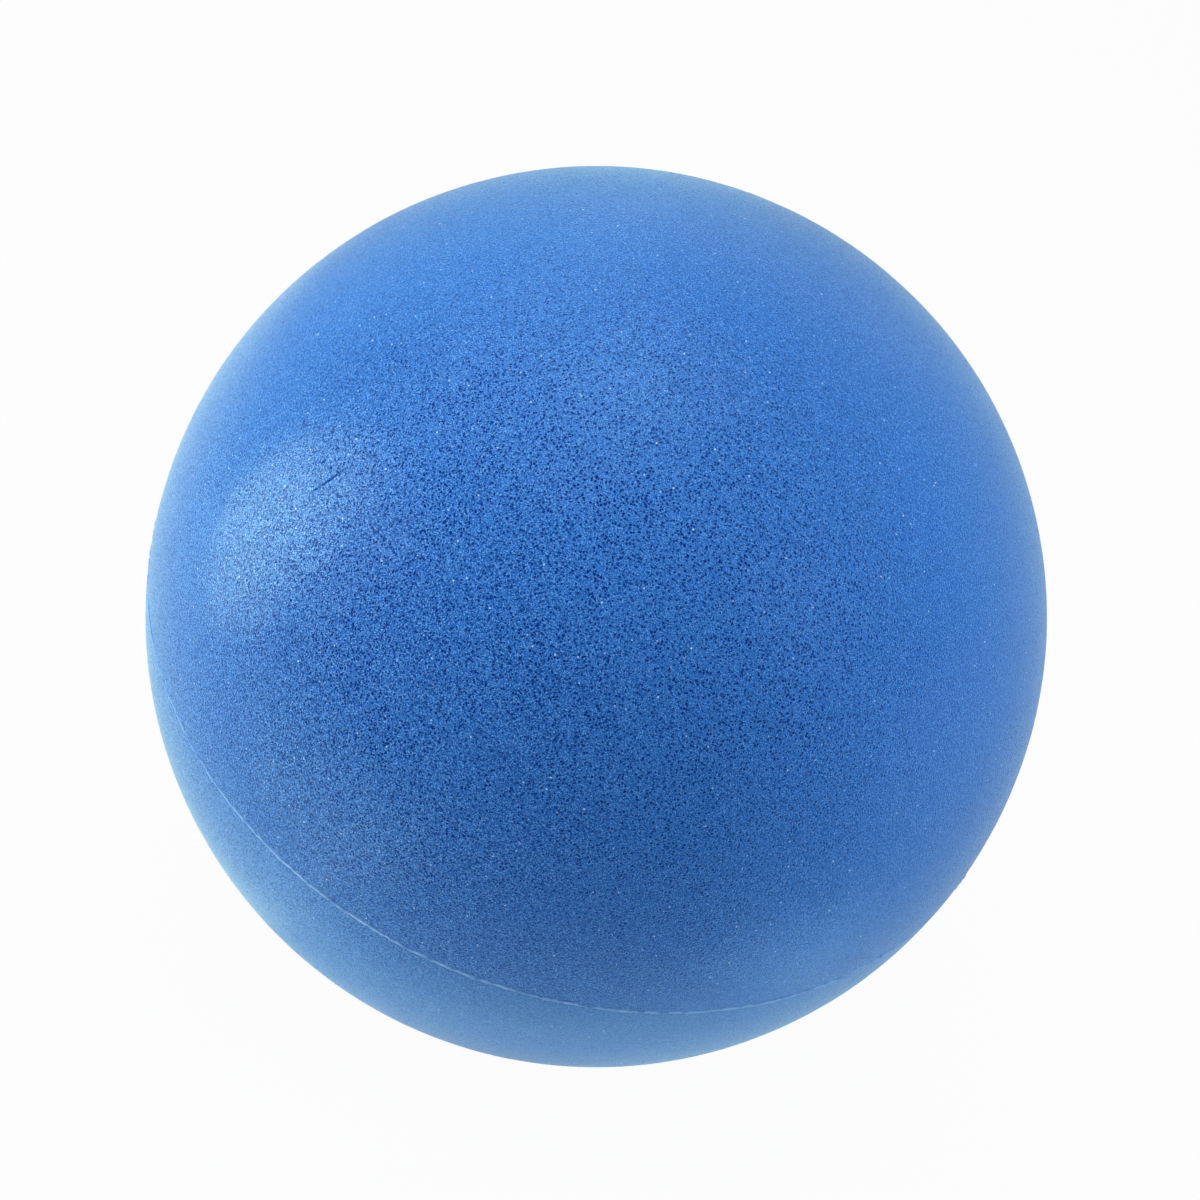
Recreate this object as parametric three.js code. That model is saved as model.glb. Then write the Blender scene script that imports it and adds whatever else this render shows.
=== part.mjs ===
// A plain foam play ball: two moulded half-balls of soft foam, bonded face to face.
// The adhesive between them is a thin film, squeezed out at the edge into a bead that shows as the seam.
// Millimetres, +Z up, origin at the ball's centre, with the seam in the XY plane.
import * as THREE from "three";

// Driving dimensions
const ballDiameter = 200; // over the foam
const filmThickness = 0.4; // adhesive between the two flat bonding faces
const rimRound = 0.9; // radius of the moulded round on each half's edge, which opens the seam's groove
const beadClimb = 0.3; // how far the bead runs up each round, measured from the film's face
const beadHeight = 0.2; // how far the bead stands proud of the ball
const restFlatDiameter = 24; // patch that the foam's own weight flattens where the ball stands

// Facets
const facetsAround = 72;
const domeSteps = 18;
const roundSteps = 3;
const beadSteps = 6;

// Finishes
const foamBlue = new THREE.MeshStandardMaterial({ color: 0x3b74c6, roughness: 0.9, metalness: 0 });
const adhesiveBlue = new THREE.MeshStandardMaterial({ color: 0x7fa9dc, roughness: 0.6, metalness: 0 });

// Worked out from the driving dimensions
const ballRadius = ballDiameter / 2;
const bondFace = filmThickness / 2;
const quarterTurn = Math.PI / 2;

// The round's circle touches the bonding face below it and the ball's surface outside it.
const roundCentre = new THREE.Vector2(0, bondFace + rimRound);
roundCentre.x = Math.sqrt((ballRadius - rimRound) ** 2 - roundCentre.y ** 2);
const domeStart = Math.atan2(roundCentre.y, roundCentre.x);
const beadLeaves = Math.acos(1 - beadClimb / rimRound) - quarterTurn;

// Points on an arc about a centre, both of its ends included.
function arc(centre, radius, from, to, steps) {
  const points = [];
  for (let i = 0; i <= steps; i++) {
    const angle = from + ((to - from) * i) / steps;
    points.push(new THREE.Vector2(Math.cos(angle), Math.sin(angle)).multiplyScalar(radius).add(centre));
  }
  return points;
}

// A half's rounded edge, from the bonding face out to the ball's surface.
// The bead's edge is one of its points, so that foam and adhesive meet on the same facets.
function rimEdge() {
  const underBead = arc(roundCentre, rimRound, -quarterTurn, beadLeaves, roundSteps);
  const aboveBead = arc(roundCentre, rimRound, beadLeaves, domeStart, roundSteps);
  return { underBead, aboveBead: aboveBead.slice(1) };
}

// The ball's surface in section, from the rounded edge up to a given angle above the seam.
function dome(toAngle) {
  return arc(new THREE.Vector2(0, 0), ballRadius, domeStart, toAngle, domeSteps).slice(1);
}

// The same section on the other side of the seam, walked the other way.
function mirrored(points) {
  return points.map((p) => new THREE.Vector2(p.x, -p.y)).reverse();
}

function onAxis(height) {
  return new THREE.Vector2(0, height);
}

// Turns a section about the Z axis. It runs anticlockwise, from the axis to the axis.
function turned(name, section, material) {
  const geometry = new THREE.LatheGeometry(section, facetsAround).rotateX(quarterTurn);
  const mesh = new THREE.Mesh(geometry, material);
  mesh.name = name;
  return mesh;
}

function upperHalf() {
  const { underBead, aboveBead } = rimEdge();
  const skin = [...underBead, ...aboveBead, ...dome(quarterTurn).slice(0, -1)];
  return turned("upper_half", [onAxis(bondFace), ...skin, onAxis(ballRadius)], foamBlue);
}

function lowerHalf() {
  const { underBead, aboveBead } = rimEdge();
  const flatEdge = Math.acos(restFlatDiameter / 2 / ballRadius);
  const skin = mirrored([...underBead, ...aboveBead, ...dome(flatEdge)]);
  return turned("lower_half", [onAxis(skin[0].y), ...skin, onAxis(-bondFace)], foamBlue);
}

// The film fills the gap between the bonding faces and swells into the groove at its edge.
function adhesiveSeam() {
  const { underBead } = rimEdge();
  const beadEdge = underBead.at(-1);
  const reach = ballRadius + beadHeight - beadEdge.x;
  const crown = [];
  for (let i = 1; i < beadSteps; i++) {
    const angle = -quarterTurn + (Math.PI * i) / beadSteps;
    crown.push(new THREE.Vector2(beadEdge.x + reach * Math.cos(angle), beadEdge.y * Math.sin(angle)));
  }
  const lowerFace = mirrored(underBead).reverse();
  const upperFace = [...underBead].reverse();
  const section = [onAxis(-bondFace), ...lowerFace, ...crown, ...upperFace, onAxis(bondFace)];
  return turned("adhesive_seam", section, adhesiveBlue);
}

const foamBall = new THREE.Group();
foamBall.name = "foam_ball";
foamBall.add(upperHalf(), lowerHalf(), adhesiveSeam());

export default foamBall;
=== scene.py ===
# A plain blue foam ball on a pale floor: two moulded foam halves, bonded at a thin adhesive seam.
import math

import bpy
import numpy as np
from mathutils import Matrix, Quaternion, Vector


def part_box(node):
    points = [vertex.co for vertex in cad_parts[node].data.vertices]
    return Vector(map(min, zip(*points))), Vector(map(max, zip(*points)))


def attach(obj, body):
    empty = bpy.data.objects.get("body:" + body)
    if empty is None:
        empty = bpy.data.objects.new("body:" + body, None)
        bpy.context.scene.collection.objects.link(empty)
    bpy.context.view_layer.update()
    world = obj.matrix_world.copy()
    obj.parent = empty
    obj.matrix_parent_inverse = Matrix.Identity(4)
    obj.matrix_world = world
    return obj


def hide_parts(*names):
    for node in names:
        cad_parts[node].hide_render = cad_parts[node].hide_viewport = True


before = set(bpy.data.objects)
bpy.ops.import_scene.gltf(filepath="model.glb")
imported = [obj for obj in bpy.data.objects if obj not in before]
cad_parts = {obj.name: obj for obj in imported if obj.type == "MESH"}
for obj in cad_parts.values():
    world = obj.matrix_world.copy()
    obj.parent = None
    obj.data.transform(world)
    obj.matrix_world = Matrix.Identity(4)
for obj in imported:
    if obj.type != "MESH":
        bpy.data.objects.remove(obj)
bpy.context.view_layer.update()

MM = 0.001
BODY = "root"

# Sizes that the frame gives
BALL_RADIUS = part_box("upper_half")[1].z
BOND_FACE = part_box("upper_half")[0].z
REST_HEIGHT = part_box("lower_half")[0].z
BEAD_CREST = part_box("adhesive_seam")[1].x

# The moulded halves
BALL_DIVISIONS = 8
RIM_ROUND = 0.4 * MM
RIM_ROWS = 7
REST_SOFTNESS = 0.25 * MM
SWELL_WIDTH = 55 * MM
SWELL_DEPTH = 0.3 * MM
DIMPLE_WIDTH = 5 * MM
DIMPLE_DEPTH = 0.05 * MM
CALM_BAND = 7 * MM
SKIN_STEPS = 20
WELD = 0.001 * MM

# The seam
BEAD_CLIMB = 0.16 * MM
BEAD_STEPS = 1440
BEAD_ROWS = 8
FILM_CLEARANCE = 0.02 * MM
SEAM_DRIFT = 0.09 * MM
SEAM_DRIFT_REACH = 3 * MM
DRIFT_WAVES = (5, 11, 23, 47, 90)
BEAD_WAVES = (7, 19, 41, 83, 157, 290)
BEAD_UNEVENNESS = 0.4
BEAD_FULLEST = math.radians(-85)
BEAD_FADE = 0.9
SEAM_SEED = 11

# The camera, from the photograph's frame
FRAME_PIXELS = 1200
CAMERA_DISTANCE = 4.7 * BALL_RADIUS
CAMERA_ELEVATION = math.radians(47.8)
CAMERA_ROLL = math.radians(23.1)
CAMERA_LENS = 62.1
CAMERA_SENSOR = 36.0
CAMERA_SHIFT_X = 0.0031
CAMERA_SHIFT_Y = 0.0138

# The pixels round which the pores are most open and the shade painted in them strongest, the strokes'
# painted light and shade is strongest, and the seam's pale glue and painted highlight show clearest
OPEN_PIXEL = (540, 640)
PAINTED_RELIEF_PIXEL = (280, 690)
SEAM_PIXEL = (540, 994)

# A short nick in the skin with two pits beside it: the pixels of each one's ends, its width and its depth
NICKS = (
    ((313, 492), (346, 469), 0.18 * MM, 0.42 * MM),
    ((322, 463), (326, 460), 0.24 * MM, 0.40 * MM),
    ((330, 469), (332, 467), 0.22 * MM, 0.32 * MM),
)
NICK_PATCH = 5.0 * MM
NICK_CUTS = 5
NICK_END_DEPTH = 0.35

# The foam's skin
PORE_SPACING = 0.64 * MM
PORE_RADIUS = 0.255 * MM
PORE_DEPTH = 0.25 * MM
# Painted shade: the dark blue of the pores stands for the shade inside them
PORE_PAINTED_SHADE_BLUE = (0, 48, 150)
PORE_PAINTED_SHADE_STRENGTH = 0.95
PINHOLE_SPACING = 0.48 * MM
PINHOLE_RADIUS = 0.19 * MM
PINHOLE_DEPTH = 0.08 * MM
# Painted shade: the dark blue of the pinholes stands for the shade inside them
PINHOLE_PAINTED_SHADE_BLUE = (4, 56, 152)
# Painted glints: pale spots that stand for light glinting off tiny cell walls
GLINT_SPACING = 2.0 * MM
GLINT_RADIUS = 0.24 * MM
PAINTED_GLINT_BLUE = (180, 215, 250)
GRAIN_WIDTH = 0.24 * MM
GRAIN_HEIGHT = 0.025 * MM
PALE_GRAIN = (108, 170, 244)
DARK_GRAIN = (22, 80, 170)
STROKE_WIDTH = 0.28 * MM
STROKE_HEIGHT = 0.04 * MM
# Painted light and shade on the strokes' relief: pale where ridges catch the light, dark in the folds
PAINTED_LIT_STROKE = (112, 176, 246)
PAINTED_SHADED_STROKE = (6, 62, 156)
CROWD_WIDTH = 9 * MM
TONE_WIDTH = 30 * MM
CLOSED_SHARE = 0.65
PAINTED_RELIEF_BEHIND = 0.6
FOAM_ROUGHNESS = 0.3
FOAM_SPECULAR = 0.02
FOAM_SPECULAR_TINT = (0.45, 0.95, 1.0, 1.0)
FOAM_COAT = 0.3
FOAM_COAT_ROUGHNESS = 0.25
FOAM_SHEEN = 0.45
FOAM_SHEEN_TINT = (0.42, 0.93, 1.0, 1.0)
SHEEN_ROUGHNESS = 0.42

# The two halves' blues, darker and paler tones mixed at random, and how open their pores are
UPPER_DARKER_TONE = (41, 107, 198)
UPPER_PALER_TONE = (49, 116, 207)
UPPER_OPENNESS = 0.9
LOWER_DARKER_TONE = (56, 120, 203)
LOWER_PALER_TONE = (64, 128, 210)
LOWER_OPENNESS = 0.7

# The adhesive's surface
CLOUD_WIDTH = 2.5 * MM
RIPPLE_WIDTH = 0.7 * MM
RIPPLE_HEIGHT = 0.06 * MM
RIPPLE_STRENGTH = 0.7
DULL_ADHESIVE = (58, 122, 206)
# Partly the glue's own pale colour, partly a painted highlight where the bead catches the light
PALE_ADHESIVE_AND_HIGHLIGHT = (140, 188, 238)
ADHESIVE_ROUGHNESS = 0.5
ADHESIVE_SPECULAR = 0.2
ADHESIVE_SHEEN = 0.3
ADHESIVE_SHEEN_TINT = (0.5, 0.93, 1.0, 1.0)

# The studio
CENTRE = (0, 0, 0)
FLOOR_SIZE = 12.0
FLOOR_GLOW = 0.96
FLOOR_ALBEDO = 0.5
COOL_LIGHT = (0.58, 1.0, 0.93)
WINDOW_LIGHT = (0.8, 1.0, 0.55)
WINDOW_SPREAD = math.radians(70)
LEFT_LIGHT = (1.0, 1.0, 0.94)
RIGHT_LIGHT = (0.86, 0.96, 1.0)
CARD_AZIMUTH = math.radians(-85)
CARD_ELEVATION = math.radians(30)
CARD_DISTANCE = 0.75
CARD_WIDTH = 1.3
CARD_HEIGHT = 1.1
CARD_GREY = 0.03
FLOOR_LAMP_GAP = 2 * MM


class Shade:
    """A socket in a node tree. Arithmetic on it adds Math nodes to the tree."""

    def __init__(self, tree, socket=None):
        self.tree = tree
        self.socket = socket

    def __getitem__(self, output):
        """Another output of the same node."""
        return Shade(self.tree, self.socket.node.outputs[output])

    def node(self, kind, settings, inputs):
        """A new node of this kind. Its settings are set first, then its inputs: plain values or links."""
        made = self.tree.nodes.new("ShaderNode" + kind)
        for name, value in settings.items():
            setattr(made, name, value)
        for name, value in inputs.items():
            if isinstance(value, Shade):
                self.tree.links.new(value.socket, made.inputs[name])
            else:
                made.inputs[name].default_value = value
        return Shade(self.tree, made.outputs[0] if made.outputs else None)

    def math(self, operation, *terms):
        return self.node("Math", {"operation": operation}, dict(enumerate(terms)))

    def __add__(self, other):
        return self.math("ADD", self, other)

    __radd__ = __add__

    def __mul__(self, other):
        return self.math("MULTIPLY", self, other)

    __rmul__ = __mul__

    def __sub__(self, other):
        return self.math("SUBTRACT", self, other)

    def __rsub__(self, other):
        return self.math("SUBTRACT", other, self)

    def eased(self, low, high):
        """Rises smoothly from 0 to 1 as this value goes from low to high, which may be the smaller."""
        settings = {"interpolation_type": "SMOOTHSTEP"}
        return self.node("MapRange", settings, {"Value": self, "From Min": low, "From Max": high})


def linear(red, green, blue):
    """A colour written as it shows on screen, from 0 to 255, as the shader's linear RGBA."""
    levels = []
    for level in (red / 255, green / 255, blue / 255):
        levels.append(level / 12.92 if level <= 0.04045 else ((level + 0.055) / 1.055) ** 2.4)
    return (*levels, 1.0)


def new_finish(name):
    """An empty material, and the start of its nodes."""
    finish = bpy.data.materials.new(name)
    finish.use_nodes = True
    finish.node_tree.nodes.clear()
    return finish, Shade(finish.node_tree)


def blended(shade, factor, colour, other):
    """One colour turning into another as factor goes from 0 to 1."""
    return shade.node("Mix", {"data_type": "RGBA"}, {0: factor, 6: colour, 7: other})[2]


def shifted(place, offset):
    """The same coordinates, moved, so that one pattern doesn't repeat another."""
    return place.node("VectorMath", {"operation": "ADD"}, {0: place, 1: offset})


def mottle(place, width, detail):
    """Soft noise about 0, with patches of this width."""
    noise = place.node("TexNoise", {}, {"Vector": place, "Scale": 1 / width, "Detail": detail})
    return (noise - 0.5) * 2


def bubbles(place, spacing, radius):
    """Distance from the nearest of many scattered bubbles, 1 at its edge, and a random value for each."""
    cells = place.node("TexVoronoi", {"feature": "F1"}, {"Vector": place, "Scale": 1 / spacing})
    chance = cells.node("SeparateColor", {}, {"Color": cells["Color"]})
    return cells["Distance"] * (spacing / radius), chance


def toward(place, pixel):
    """How far a point lies along one pixel's direction, from 0 at the ball's centre to 1 at its skin."""
    direction = point_on_ball(pixel) / BALL_RADIUS ** 2
    return place.node("VectorMath", {"operation": "DOT_PRODUCT"}, {0: place, 1: direction})["Value"]


def foam_finish(name, darker_blue, paler_blue, openness):
    """Moulded foam: open pores of several sizes with painted shade in them, in a grainy skin, with strokes
    of painted light and shade and a few painted glints.
    """
    finish, start = new_finish(name)
    place = start.node("TexCoord", {}, {})["Object"]

    # The pores, and the shade painted in them, are strongest at the front and the back, and weaker in a
    # band between them
    front = toward(place, OPEN_PIXEL)
    closed = front.eased(0.98, 0.6) * front.eased(-0.3, 0.3)
    openness = openness * (1 - closed * CLOSED_SHARE)
    # Where the strokes' painted light and shade is strongest: round one side, and on the back
    painted_relief = toward(place, PAINTED_RELIEF_PIXEL).eased(0.6, 0.98) + front.eased(-0.1, -0.5) * PAINTED_RELIEF_BEHIND
    crowding = mottle(place, CROWD_WIDTH, 2) * 0.35 + 1.0
    pore, pore_chance = bubbles(place, PORE_SPACING, PORE_RADIUS)
    pore = pore * (1.35 - pore_chance * 0.6)
    painted_pore_shade = pore.eased(1.0, 0.6) * crowding * openness
    bowls = pore.eased(1.15, 0.4) * crowding * openness
    pinhole, pinhole_chance = bubbles(shifted(place, (0.3, 0.1, 0.2)), PINHOLE_SPACING, PINHOLE_RADIUS)
    pinholes = pinhole.eased(1.0, 0.5) * (pinhole_chance * 0.7 + 0.3) * openness
    glint, glint_chance = bubbles(shifted(place, (0.9, 0.4, 0.6)), GLINT_SPACING, GLINT_RADIUS)
    painted_glints = glint.eased(1.0, 0.5) * glint_chance.eased(0.4, 0.95)
    grain = mottle(shifted(place, (0.5, 0.7, 0.1)), GRAIN_WIDTH, 1)
    strokes = mottle(shifted(place, (0.1, 0.6, 0.9)), STROKE_WIDTH, 1)
    # How strongly the strokes' ridges get a painted highlight and their folds painted shade
    painted_lit_strokes = strokes.eased(0.1, 0.5) * (painted_relief * 0.4 + 0.6)
    painted_shaded_strokes = strokes.eased(0.0, -0.45) * painted_relief
    tone = mottle(shifted(place, (0.2, 0.8, 0.3)), TONE_WIDTH, 2)

    # Each layer of colour lies over the one before it
    skin = blended(start, tone * 0.5 + 0.5, darker_blue, paler_blue)
    skin = blended(start, grain.eased(0.0, 0.45) * 0.9, skin, linear(*PALE_GRAIN))
    skin = blended(start, grain.eased(0.0, -0.45) * 0.5, skin, linear(*DARK_GRAIN))
    # Painted highlights on the strokes' ridges and painted shade in their folds
    skin = blended(start, painted_lit_strokes, skin, linear(*PAINTED_LIT_STROKE))
    skin = blended(start, painted_shaded_strokes, skin, linear(*PAINTED_SHADED_STROKE))
    # Painted shade in the pinholes and the pores
    skin = blended(start, pinholes * 0.9, skin, linear(*PINHOLE_PAINTED_SHADE_BLUE))
    skin = blended(start, painted_pore_shade * PORE_PAINTED_SHADE_STRENGTH, skin, linear(*PORE_PAINTED_SHADE_BLUE))
    # Painted glints
    skin = blended(start, painted_glints, skin, linear(*PAINTED_GLINT_BLUE))

    height = grain * GRAIN_HEIGHT + strokes * STROKE_HEIGHT - bowls * PORE_DEPTH - pinholes * PINHOLE_DEPTH
    relief = start.node("Bump", {}, {"Height": height, "Distance": 1.0, "Strength": 1.0})
    surface = start.node("BsdfPrincipled", {}, {
        "Base Color": skin,
        "Roughness": FOAM_ROUGHNESS + grain * 0.06,
        "Normal": relief,
        "Specular IOR Level": FOAM_SPECULAR,
        "Specular Tint": FOAM_SPECULAR_TINT,
        "Coat Weight": strokes.eased(-0.9, 0.9) * FOAM_COAT,
        "Coat Roughness": FOAM_COAT_ROUGHNESS,
        "Sheen Weight": FOAM_SHEEN,
        "Sheen Roughness": SHEEN_ROUGHNESS,
        "Sheen Tint": FOAM_SHEEN_TINT,
    })
    inside = start.node("BsdfPrincipled", {}, {
        "Base Color": skin,
        "Roughness": 1.0,
        "Normal": relief,
        "Specular IOR Level": 0.0,
    })
    sunk = start.math("MAXIMUM", painted_pore_shade * PORE_PAINTED_SHADE_STRENGTH, painted_shaded_strokes * 0.9)
    mixed = start.node("MixShader", {}, {0: sunk, 1: surface, 2: inside})
    start.node("OutputMaterial", {}, {"Surface": mixed})
    return finish


def adhesive_finish():
    """Cured flexible adhesive, close to the foam's blue, with pale stretches near the front that are
    partly the glue's own colour and partly a painted highlight where the bead catches the light.
    """
    finish, start = new_finish("pale_cured_adhesive")
    place = start.node("TexCoord", {}, {})["Object"]
    cloud = mottle(place, CLOUD_WIDTH, 3)
    # Partly the glue's own pale colour, partly a painted highlight on the bead, on the side facing the
    # camera
    clear = toward(place, SEAM_PIXEL).eased(0.2, 0.95) * cloud.eased(-0.5, 0.3)
    ripples = mottle(shifted(place, (0.4, 0.2, 0.7)), RIPPLE_WIDTH, 2) * RIPPLE_HEIGHT
    colour = blended(start, clear, linear(*DULL_ADHESIVE), linear(*PALE_ADHESIVE_AND_HIGHLIGHT))
    relief = start.node("Bump", {}, {"Height": ripples, "Distance": 1.0, "Strength": RIPPLE_STRENGTH})
    surface = start.node("BsdfPrincipled", {}, {
        "Base Color": colour,
        "Roughness": ADHESIVE_ROUGHNESS + cloud * 0.12,
        "Normal": relief,
        "Specular IOR Level": ADHESIVE_SPECULAR,
        "Sheen Weight": ADHESIVE_SHEEN,
        "Sheen Roughness": SHEEN_ROUGHNESS,
        "Sheen Tint": ADHESIVE_SHEEN_TINT,
    })
    start.node("OutputMaterial", {}, {"Surface": surface})
    return finish


def seen_directly(start):
    """1 for what the camera sees straight, mirrored or through glass, 0 for light that falls on things."""
    path = start.node("LightPath", {}, {})
    seen = path.math("MAXIMUM", path["Is Camera Ray"], path["Is Glossy Ray"])
    return path.math("MAXIMUM", seen, path["Is Transmission Ray"])


def floor_finish():
    """A pale floor that shows nearly white and keeps the ball's shadow."""
    finish, start = new_finish("pale_floor")
    matte = start.node("BsdfDiffuse", {}, {"Color": (FLOOR_ALBEDO, FLOOR_ALBEDO, FLOOR_ALBEDO, 1.0)})
    white = start.node("Emission", {}, {"Strength": 1.0})
    mixed = start.node("MixShader", {}, {0: seen_directly(start) * FLOOR_GLOW, 1: matte, 2: white})
    start.node("OutputMaterial", {}, {"Surface": mixed})
    return finish


def camera_axes():
    """The camera's right, up and backward directions."""
    back = Vector((0, -math.cos(CAMERA_ELEVATION), math.sin(CAMERA_ELEVATION)))
    turn = Quaternion(back, CAMERA_ROLL) @ back.to_track_quat("Z", "Y")
    return turn @ Vector((1, 0, 0)), turn @ Vector((0, 1, 0)), back


def photo_camera():
    right, up, back = camera_axes()
    turn = Matrix((right, up, back)).transposed()
    bpy.ops.object.camera_add(location=back * CAMERA_DISTANCE, rotation=turn.to_euler())
    camera = bpy.context.object
    camera.name = "photo_camera"
    camera.data.lens = CAMERA_LENS
    camera.data.sensor_width = CAMERA_SENSOR
    camera.data.shift_x = CAMERA_SHIFT_X
    camera.data.shift_y = CAMERA_SHIFT_Y
    bpy.context.scene.camera = camera


def point_on_ball(pixel):
    """Where the line of sight through a pixel of the photograph's frame meets the ball."""
    right, up, back = camera_axes()
    across = (pixel[0] / FRAME_PIXELS - 0.5 + CAMERA_SHIFT_X) * CAMERA_SENSOR
    above = (0.5 - pixel[1] / FRAME_PIXELS + CAMERA_SHIFT_Y) * CAMERA_SENSOR
    sight = (right * across + up * above - back * CAMERA_LENS).normalized()
    nearest = -CAMERA_DISTANCE * sight.dot(back)
    miss = CAMERA_DISTANCE ** 2 - nearest ** 2
    return back * CAMERA_DISTANCE + sight * (nearest - math.sqrt(BALL_RADIUS ** 2 - miss))


def lamp(name, place, aim, width, height, power):
    """A soft rectangular lamp at a place, facing a point to aim at."""
    away = Vector(place) - Vector(aim)
    turn = away.to_track_quat("Z", "Y").to_euler()
    bpy.ops.object.light_add(type="AREA", location=place, rotation=turn)
    light = bpy.context.object
    light.name = name
    light.data.shape = "RECTANGLE"
    light.data.size = width
    light.data.size_y = height
    light.data.energy = power
    light.visible_camera = False
    return light


def floor_lamp(name, x, y, width, depth, power):
    """A lamp just above the floor, facing up, like a lit patch of the floor."""
    height = REST_HEIGHT + FLOOR_LAMP_GAP
    return lamp(name, (x, y, height), (x, y, 1), width, depth, power)


def dark_card():
    """A dark card behind the camera, which keeps light off the front of the ball."""
    away = Vector((math.cos(CARD_AZIMUTH), math.sin(CARD_AZIMUTH), math.tan(CARD_ELEVATION))).normalized()
    turn = away.to_track_quat("Z", "Y").to_euler()
    bpy.ops.mesh.primitive_plane_add(size=1, location=away * CARD_DISTANCE, rotation=turn)
    card = bpy.context.object
    card.name = "dark_card"
    card.scale = (CARD_WIDTH, CARD_HEIGHT, 1)
    card.visible_camera = False
    finish, start = new_finish("dark_card")
    matte = start.node("BsdfDiffuse", {}, {"Color": (CARD_GREY, CARD_GREY, CARD_GREY, 1.0)})
    start.node("OutputMaterial", {}, {"Surface": matte})
    card.data.materials.append(finish)


def set_lamps(lamps, colour, glossy, diffuse):
    """Gives lamps one colour, and says whether they show in reflections and light matte surfaces."""
    for light in lamps:
        light.data.color = colour
        light.visible_glossy = glossy
        light.visible_diffuse = diffuse


def studio():
    """White surroundings, lamps overhead and at the sides, lamps only for highlights, and a dark card."""
    world = bpy.data.worlds.new("white_studio")
    bpy.context.scene.world = world
    world.use_nodes = True
    world.node_tree.nodes.clear()
    start = Shade(world.node_tree)
    light = start.node("Background", {}, {"Color": (1, 1, 1, 1), "Strength": seen_directly(start)})
    start.node("OutputWorld", {}, {"Surface": light})
    left_overhead = lamp("left_overhead", (-0.35, 0.2, 0.82), CENTRE, 1.0, 1.0, 5.25)
    left_overhead.data.color = LEFT_LIGHT
    right_overhead = lamp("right_overhead", (0.35, 0.15, 0.82), CENTRE, 1.0, 1.0, 1.67)
    right_overhead.data.color = RIGHT_LIGHT
    lamp("back_lamp", (0, 0.9, 0.4), CENTRE, 1.0, 0.6, 1.2)
    left_fills = [
        lamp("left_fill", (-0.5, -0.2, 0.2), CENTRE, 0.3, 0.3, 2.1),
        lamp("low_left_fill", (-0.45, -0.25, 0.0), CENTRE, 0.3, 0.18, 0.26),
    ]
    set_lamps(left_fills, LEFT_LIGHT, False, True)
    right_fills = [
        lamp("right_fill", (0.45, -0.19, 0.5), CENTRE, 0.3, 0.3, 1.72),
        lamp("low_right_fill", (0.55, 0.0, 0.0), CENTRE, 0.3, 0.3, 0.84),
        floor_lamp("front_bounce", 0.0, -0.18, 0.3, 0.12, 0.155),
    ]
    set_lamps(right_fills, RIGHT_LIGHT, False, True)
    window = lamp("left_window", (-0.261, -0.082, 0.052), (-0.061, -0.06, 0.052), 0.13, 0.26, 0.34)
    window.data.shape = "ELLIPSE"
    window.data.spread = WINDOW_SPREAD
    left_highlights = [
        window,
        floor_lamp("left_sheen", -0.3, -0.02, 0.5, 0.5, 0.88),
        floor_lamp("front_left_sheen", -0.22, -0.3, 0.3, 0.3, 1.03),
        floor_lamp("near_left_sheen", -0.13, -0.12, 0.14, 0.14, 0.05),
    ]
    set_lamps(left_highlights, WINDOW_LIGHT, True, False)
    highlights = [
        lamp("left_sky", (-0.45, 0.45, 0.35), CENTRE, 0.6, 0.5, 0.4),
        lamp("top_window", (-0.2, 0.12, 0.75), (-0.0125, -0.032, 0.094), 0.3, 0.3, 1.22),
        floor_lamp("front_sheen", 0.01, -0.155, 0.22, 0.1, 0.09),
        floor_lamp("right_sheen", 0.22, -0.13, 0.14, 0.14, 0.146),
    ]
    set_lamps(highlights, COOL_LIGHT, True, False)
    dark_card()


def floor():
    bpy.ops.mesh.primitive_plane_add(size=FLOOR_SIZE, location=(0, 0, REST_HEIGHT))
    plane = bpy.context.object
    plane.name = "floor"
    plane.data.materials.append(floor_finish())


def read_points(piece):
    points = np.empty(len(piece.data.vertices) * 3)
    piece.data.vertices.foreach_get("co", points)
    return points.reshape(-1, 3)


def write_points(piece, points):
    piece.data.vertices.foreach_set("co", points.ravel())
    piece.data.update()


def rim_section():
    """The centre of a half's rounded rim: its distance from the axis and its height above the seam."""
    height = BOND_FACE + RIM_ROUND
    return math.sqrt((BALL_RADIUS - RIM_ROUND) ** 2 - height ** 2), height


def dome_start():
    """The height above the seam's middle at which the rim's round runs out into the ball."""
    across, height = rim_section()
    return BALL_RADIUS * math.sin(math.atan2(height, across))


def seam_drift(points):
    """How far the seam strays up or down at each point's place around the ball."""
    around = np.arctan2(points[:, 1], points[:, 0])
    phases = np.random.default_rng(SEAM_SEED).uniform(0, math.tau, len(DRIFT_WAVES))
    drift = np.zeros(len(points))
    for waves, phase in zip(DRIFT_WAVES, phases):
        drift += np.sin(waves * around + phase) / math.sqrt(waves)
    return drift * SEAM_DRIFT


def follow_seam(points):
    """Moves points near the seam up or down with it."""
    nearness = np.exp(-((points[:, 2] / SEAM_DRIFT_REACH) ** 2))
    points[:, 2] += seam_drift(points) * nearness


def cut_half(side):
    """Keeps the half of the ball above the seam, or below it for side -1, and cuts rows for its rim."""
    height = rim_section()[1]
    bpy.ops.object.mode_set(mode="EDIT")
    bpy.ops.mesh.select_all(action="SELECT")
    bpy.ops.mesh.bisect(plane_co=(0, 0, side * BOND_FACE), plane_no=(0, 0, side),
                        use_fill=True, clear_inner=True, threshold=WELD)
    for row in range(1, RIM_ROWS + 1):
        angle = math.pi / 2 * row / RIM_ROWS
        level = side * (height - RIM_ROUND * math.cos(angle))
        bpy.ops.mesh.select_all(action="SELECT")
        bpy.ops.mesh.bisect(plane_co=(0, 0, level), plane_no=(0, 0, side), threshold=WELD)
    bpy.ops.object.mode_set(mode="OBJECT")


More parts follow.
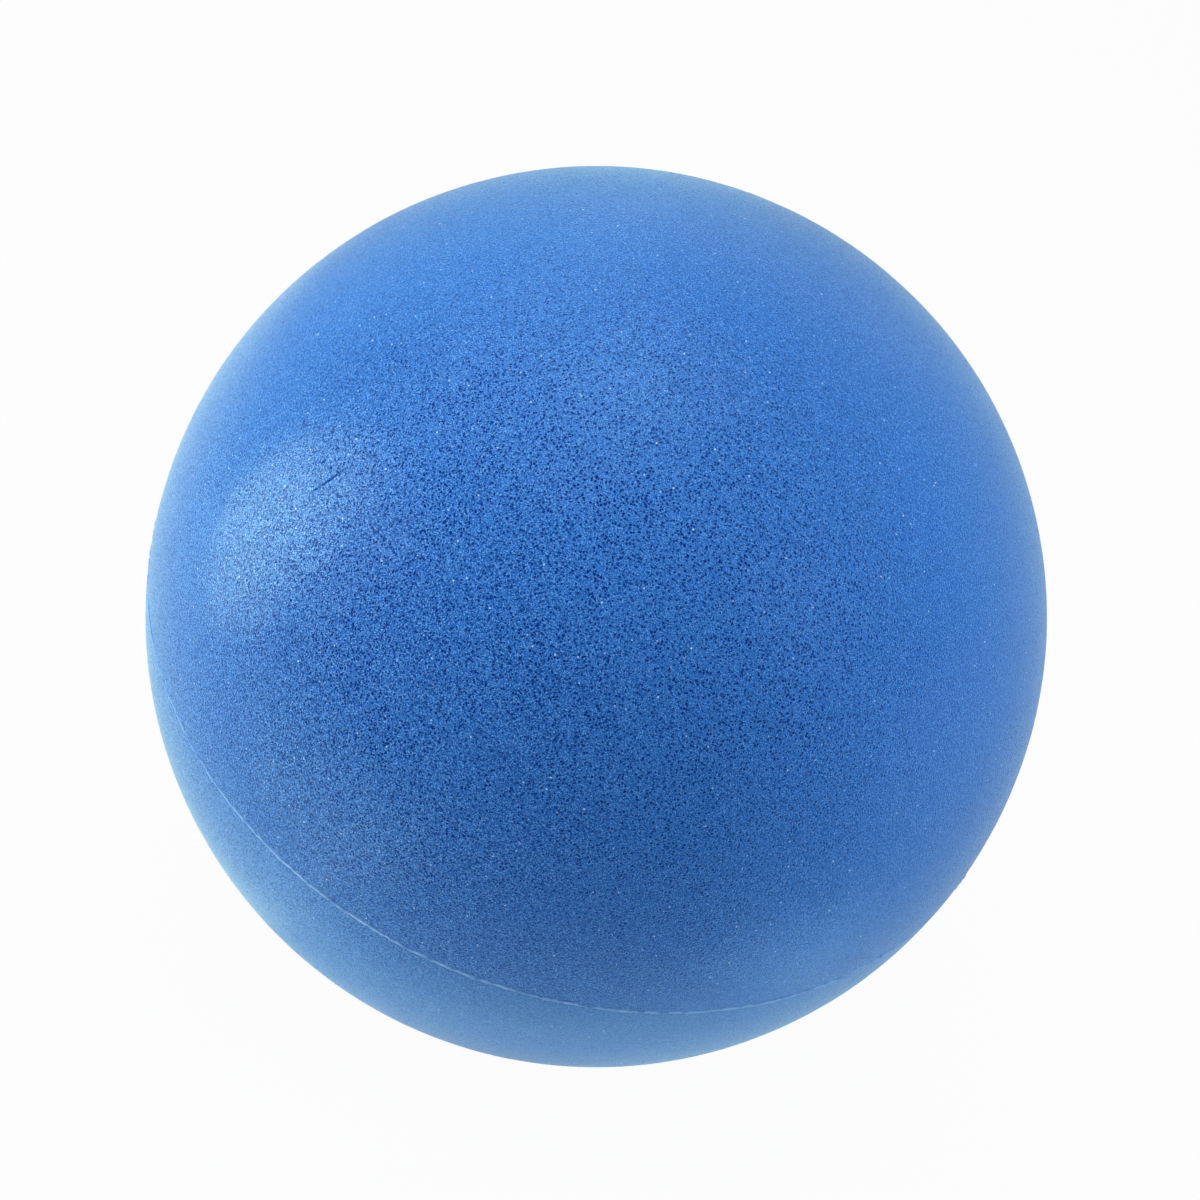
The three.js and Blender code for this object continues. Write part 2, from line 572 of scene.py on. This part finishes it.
def round_rim(points):
    """Draws the points below the dome's start in to the rim's round."""
    across, height = rim_section()
    level = np.abs(points[:, 2])
    rim = level < dome_start()
    sink = np.clip(height - level[rim], 0, RIM_ROUND)
    reach = across + np.sqrt(RIM_ROUND ** 2 - sink ** 2)
    points[rim, :2] *= (reach / np.hypot(points[rim, 0], points[rim, 1]))[:, None]


def displaced(piece, width, depth):
    """Soft unevenness of the moulded skin, away from the seam."""
    texture = bpy.data.textures.new(piece.name + "_unevenness", "CLOUDS")
    texture.noise_scale = width
    texture.noise_depth = 2
    texture.noise_basis = "ORIGINAL_PERLIN"
    uneven = piece.modifiers.new("unevenness", "DISPLACE")
    uneven.texture = texture
    uneven.texture_coords = "LOCAL"
    uneven.mid_level = 0.5
    uneven.strength = depth
    uneven.vertex_group = "skin"
    bpy.ops.object.modifier_apply(modifier=uneven.name)


def mark_skin(piece):
    """A vertex group of the dome, fading out towards the seam."""
    skin = piece.vertex_groups.new(name="skin")
    fade = np.clip((np.abs(read_points(piece)[:, 2]) - dome_start()) / CALM_BAND, 0, 1)
    steps = np.round(fade * SKIN_STEPS).astype(int)
    for step in range(1, SKIN_STEPS + 1):
        skin.add(np.flatnonzero(steps == step).tolist(), step / SKIN_STEPS, "REPLACE")


def foam_half(name, node, side, finish):
    bpy.ops.object.select_all(action="DESELECT")
    bpy.ops.mesh.primitive_ico_sphere_add(subdivisions=BALL_DIVISIONS, radius=BALL_RADIUS)
    half = bpy.context.object
    half.name = name
    cut_half(side)
    points = read_points(half)
    round_rim(points)
    write_points(half, points)
    mark_skin(half)
    displaced(half, SWELL_WIDTH, SWELL_DEPTH)
    displaced(half, DIMPLE_WIDTH, DIMPLE_DEPTH)
    half.vertex_groups.clear()
    points = read_points(half)
    follow_seam(points)
    if side < 0:
        rest_on_floor(points)
    write_points(half, points)
    if side > 0:
        nicks(half)
    bpy.ops.object.shade_smooth()
    half.data.materials.append(finish)
    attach(half, BODY)
    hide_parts(node)
    return half


def rest_on_floor(points):
    """Flattens the foam where it stands, with a soft edge."""
    above = points[:, 2] - REST_HEIGHT
    points[:, 2] = REST_HEIGHT + (above + np.sqrt(above ** 2 + REST_SOFTNESS ** 2)) / 2


def nicks(half):
    """Short narrow cuts in the skin, in a patch of finer faces."""
    middle = np.array(point_on_ball(NICKS[0][0]) + point_on_ball(NICKS[0][1])) / 2
    centres = np.empty(len(half.data.polygons) * 3)
    half.data.polygons.foreach_get("center", centres)
    near = np.linalg.norm(centres.reshape(-1, 3) - middle, axis=1) < NICK_PATCH
    bpy.ops.object.mode_set(mode="EDIT")
    bpy.ops.mesh.select_mode(type="FACE")
    bpy.ops.mesh.select_all(action="DESELECT")
    bpy.ops.object.mode_set(mode="OBJECT")
    half.data.polygons.foreach_set("select", near)
    bpy.ops.object.mode_set(mode="EDIT")
    bpy.ops.mesh.subdivide(number_cuts=NICK_CUTS)
    bpy.ops.mesh.select_mode(type="VERT")
    bpy.ops.object.mode_set(mode="OBJECT")
    points = read_points(half)
    sink = np.zeros(len(points))
    for from_pixel, to_pixel, width, depth in NICKS:
        first = np.array(point_on_ball(from_pixel))
        along = np.array(point_on_ball(to_pixel)) - first
        share = np.clip((points - first) @ along / (along @ along), 0, 1)
        distance = np.linalg.norm(points - first - share[:, None] * along, axis=1)
        profile = NICK_END_DEPTH + (1 - NICK_END_DEPTH) * np.sin(math.pi * share)
        sink += depth * profile * np.exp(-((distance / width) ** 2))
    points *= (1 - sink / BALL_RADIUS)[:, None]
    write_points(half, points)


def adhesive_seam():
    """The film between the halves, with the uneven bead in their groove, which thins toward the back."""
    across, height = rim_section()
    film = BOND_FACE - FILM_CLEARANCE
    leaves = math.acos(1 - BEAD_CLIMB / RIM_ROUND)
    edge = across + RIM_ROUND * math.sin(leaves)
    top = height - RIM_ROUND * math.cos(leaves)
    section = [(0, -film), (across, -film)]
    for row in range(BEAD_ROWS + 1):
        angle = math.pi * row / BEAD_ROWS - math.pi / 2
        section.append((edge + (BEAD_CREST - edge) * math.cos(angle), top * math.sin(angle)))
    section += [(across, film), (0, film)]

    bpy.ops.object.select_all(action="DESELECT")
    bpy.ops.mesh.primitive_plane_add(size=MM, location=(0, 0, -film))
    seam = bpy.context.object
    seam.name = "seam_adhesive"
    bpy.ops.object.transform_apply(location=True)
    bpy.ops.object.mode_set(mode="EDIT")
    bpy.ops.mesh.select_mode(type="VERT")
    bpy.ops.mesh.merge(type="CENTER")
    for (x, z), (next_x, next_z) in zip(section, section[1:]):
        step = (next_x - x, 0, next_z - z)
        bpy.ops.mesh.extrude_region_move(TRANSFORM_OT_translate={"value": step})
    bpy.ops.mesh.select_all(action="SELECT")
    bpy.ops.mesh.spin(steps=BEAD_STEPS, angle=math.tau, center=(0, 0, 0), axis=(0, 0, 1))
    bpy.ops.mesh.select_all(action="SELECT")
    bpy.ops.mesh.remove_doubles(threshold=WELD)
    bpy.ops.mesh.normals_make_consistent(inside=False)
    bpy.ops.object.mode_set(mode="OBJECT")

    points = read_points(seam)
    reach = np.hypot(points[:, 0], points[:, 1])
    around = np.arctan2(points[:, 1], points[:, 0])
    phases = np.random.default_rng(SEAM_SEED + 1).uniform(0, math.tau, len(BEAD_WAVES))
    uneven = np.zeros(len(points))
    for waves, phase in zip(BEAD_WAVES, phases):
        uneven += np.sin(waves * around + phase) / math.sqrt(len(BEAD_WAVES))
    proud = np.clip(reach - edge, 0, None)
    thin = BEAD_FADE * np.abs(np.sin((around - BEAD_FULLEST) / 2))
    change = proud * np.maximum(uneven * BEAD_UNEVENNESS - thin, -1)
    points[:, :2] *= (1 + change / np.maximum(reach, MM))[:, None]
    follow_seam(points)
    write_points(seam, points)
    bpy.ops.object.shade_smooth()
    seam.data.materials.append(adhesive_finish())
    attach(seam, BODY)
    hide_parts("adhesive_seam")
    return seam


bpy.context.scene.view_settings.view_transform = "Standard"
photo_camera()
studio()
floor()
upper_finish = foam_finish("porous_blue_foam", linear(*UPPER_DARKER_TONE), linear(*UPPER_PALER_TONE), UPPER_OPENNESS)
lower_finish = foam_finish("smooth_blue_foam", linear(*LOWER_DARKER_TONE), linear(*LOWER_PALER_TONE), LOWER_OPENNESS)
foam_half("upper_foam", "upper_half", 1, upper_finish)
foam_half("lower_foam", "lower_half", -1, lower_finish)
adhesive_seam()
